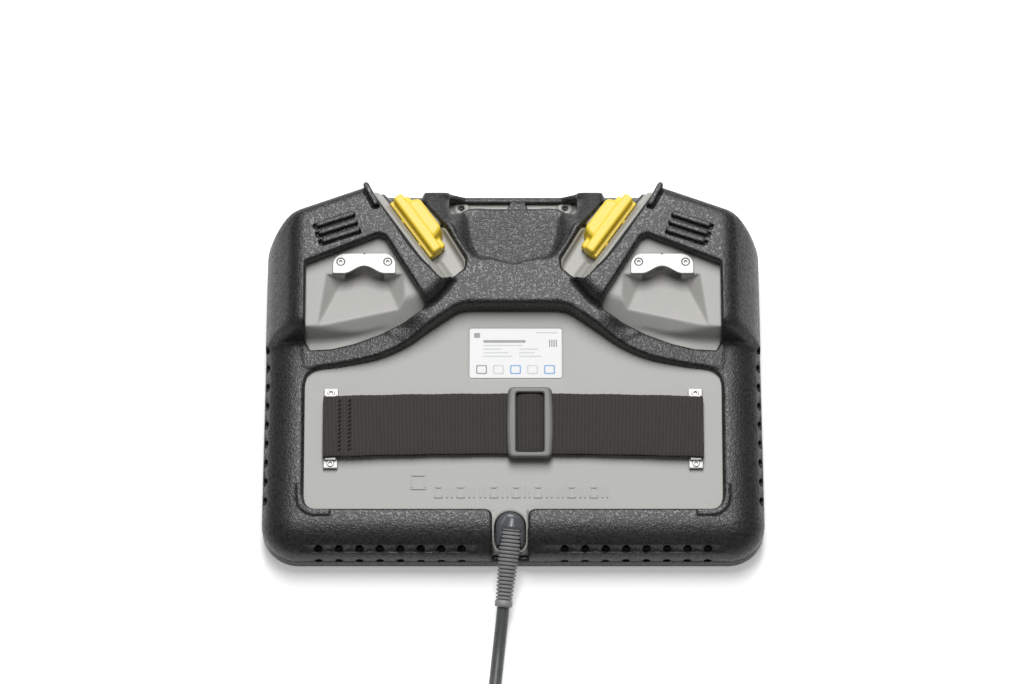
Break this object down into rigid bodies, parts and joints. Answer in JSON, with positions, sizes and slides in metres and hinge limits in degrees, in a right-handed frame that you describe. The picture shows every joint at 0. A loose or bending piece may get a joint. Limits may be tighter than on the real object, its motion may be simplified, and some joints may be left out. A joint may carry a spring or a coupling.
{
  "type": "robot teach pendant",
  "caption": "Handheld robot teach pendant lying face down: rubber-edged case with two enabling switches, hanger plates, hand strap and cable.",
  "frame": {"origin": "bottom centre of the case, on the plane of the front rim it lies on (the cable, its coil and its plug left out)", "axes": "+Z out of the back of the case, +X along its width to the right as seen from behind, +Y towards the edge with the enabling switches; the cable leaves towards -Y"},
  "size_m": [0.3, 0.4509, 0.0509],
  "materials": {
    "rubber": "leather grained, matt",
    "grey_plastic": "fine grained",
    "yellow_plastic": "smooth, slightly glossy",
    "stainless": "brushed",
    "screw_steel": "machined",
    "webbing": "woven",
    "buckle_plastic": "moulded",
    "label_stock": "printed film",
    "gland_plastic": "moulded",
    "boot_rubber": "ribbed",
    "cable_jacket": "smooth",
    "plug_shell": "moulded",
    "screen_glass": "polished, dark",
    "display_black": "moulded",
    "chassis_sheet": "sheet",
    "board_green": "solder mask",
    "heat_sink_alu": "extruded",
    "red_plastic": "smooth",
    "module_black": "moulded",
    "seal_rubber": "smooth",
    "port_metal": "stamped"
  },
  "bodies": {
    "pendant": {"front_bumper": "rubber", "front_frame": "grey_plastic", "housing_gasket": "seal_rubber", "touch_glass": "screen_glass", "display_module": "display_black", "chassis_plate": "chassis_sheet", "main_board": "board_green", "heat_sink": "heat_sink_alu", "board_connector": "module_black", "inner_lead": "cable_jacket", "cable_clamp": "module_black", "rear_housing": "grey_plastic", "rear_bumper": "rubber", "switch_module_right": "module_black", "switch_module_left": "module_black", "stop_collar": "yellow_plastic", "stop_block": "module_black", "power_module": "board_green", "usb_port": "port_metal", "hanger_plate_right": "stainless", "hanger_plate_left": "stainless", "hanger_screw_inner_right": "screw_steel", "hanger_screw_inner_left": "screw_steel", "hanger_screw_outer_right": "screw_steel", "hanger_screw_outer_left": "screw_steel", "strap": "webbing", "strap_clamp_right": "stainless", "strap_clamp_left": "stainless", "strap_screw_upper_right": "screw_steel", "strap_screw_upper_left": "screw_steel", "strap_screw_lower_right": "screw_steel", "strap_screw_lower_left": "screw_steel", "label": "label_stock", "slot_screw_right": "screw_steel", "slot_screw_left": "screw_steel", "cable_gland": "gland_plastic", "cable_boot": "boot_rubber", "cable": "cable_jacket", "cable_coil": "cable_jacket", "coil_tie": "webbing", "cable_tail": "cable_jacket", "cable_plug": "plug_shell"},
    "switch_right": {"switch_button_right": "yellow_plastic"},
    "switch_left": {"switch_button_left": "yellow_plastic"},
    "stop_push": {"stop_stem": "module_black"},
    "stop_twist": {"stop_head": "red_plastic"},
    "power": {"power_button": "module_black"},
    "usb_lid": {"usb_cover": "rubber"},
    "strap_buckle": {"buckle": "buckle_plastic"}
  },
  "joints": [
    {"name": "switch_right_press", "type": "slide", "parent": "pendant", "child": "switch_right", "axis": [0.8181, -0.575, 0], "range_m": [0, 0.003], "stiffness_N_per_m": 2000},
    {"name": "switch_left_press", "type": "slide", "parent": "pendant", "child": "switch_left", "axis": [-0.8181, -0.575, 0], "range_m": [0, 0.003], "stiffness_N_per_m": 2000},
    {"name": "stop_press", "type": "slide", "parent": "pendant", "child": "stop_push", "axis": [0, 0, 1], "range_m": [0, 0.004]},
    {"name": "stop_release_turn", "type": "hinge", "parent": "stop_push", "child": "stop_twist", "pos_m": [-0.098, 0.0875, 0.005], "axis": [0, 0, -1], "range_deg": [0, 45], "stiffness_Nm_per_rad": 0.05},
    {"name": "power_press", "type": "slide", "parent": "pendant", "child": "power", "axis": [0, 0, 1], "range_m": [0, 0.001], "stiffness_N_per_m": 500},
    {"name": "usb_lid_open", "type": "hinge", "parent": "pendant", "child": "usb_lid", "pos_m": [-0.1497, -0.04, 0.0104], "axis": [0, 1, 0], "range_deg": [0, 95]},
    {"name": "buckle_slide", "type": "slide", "parent": "pendant", "child": "strap_buckle", "axis": [1, 0, 0], "range_m": [-0.025, 0.025]}
  ]
}
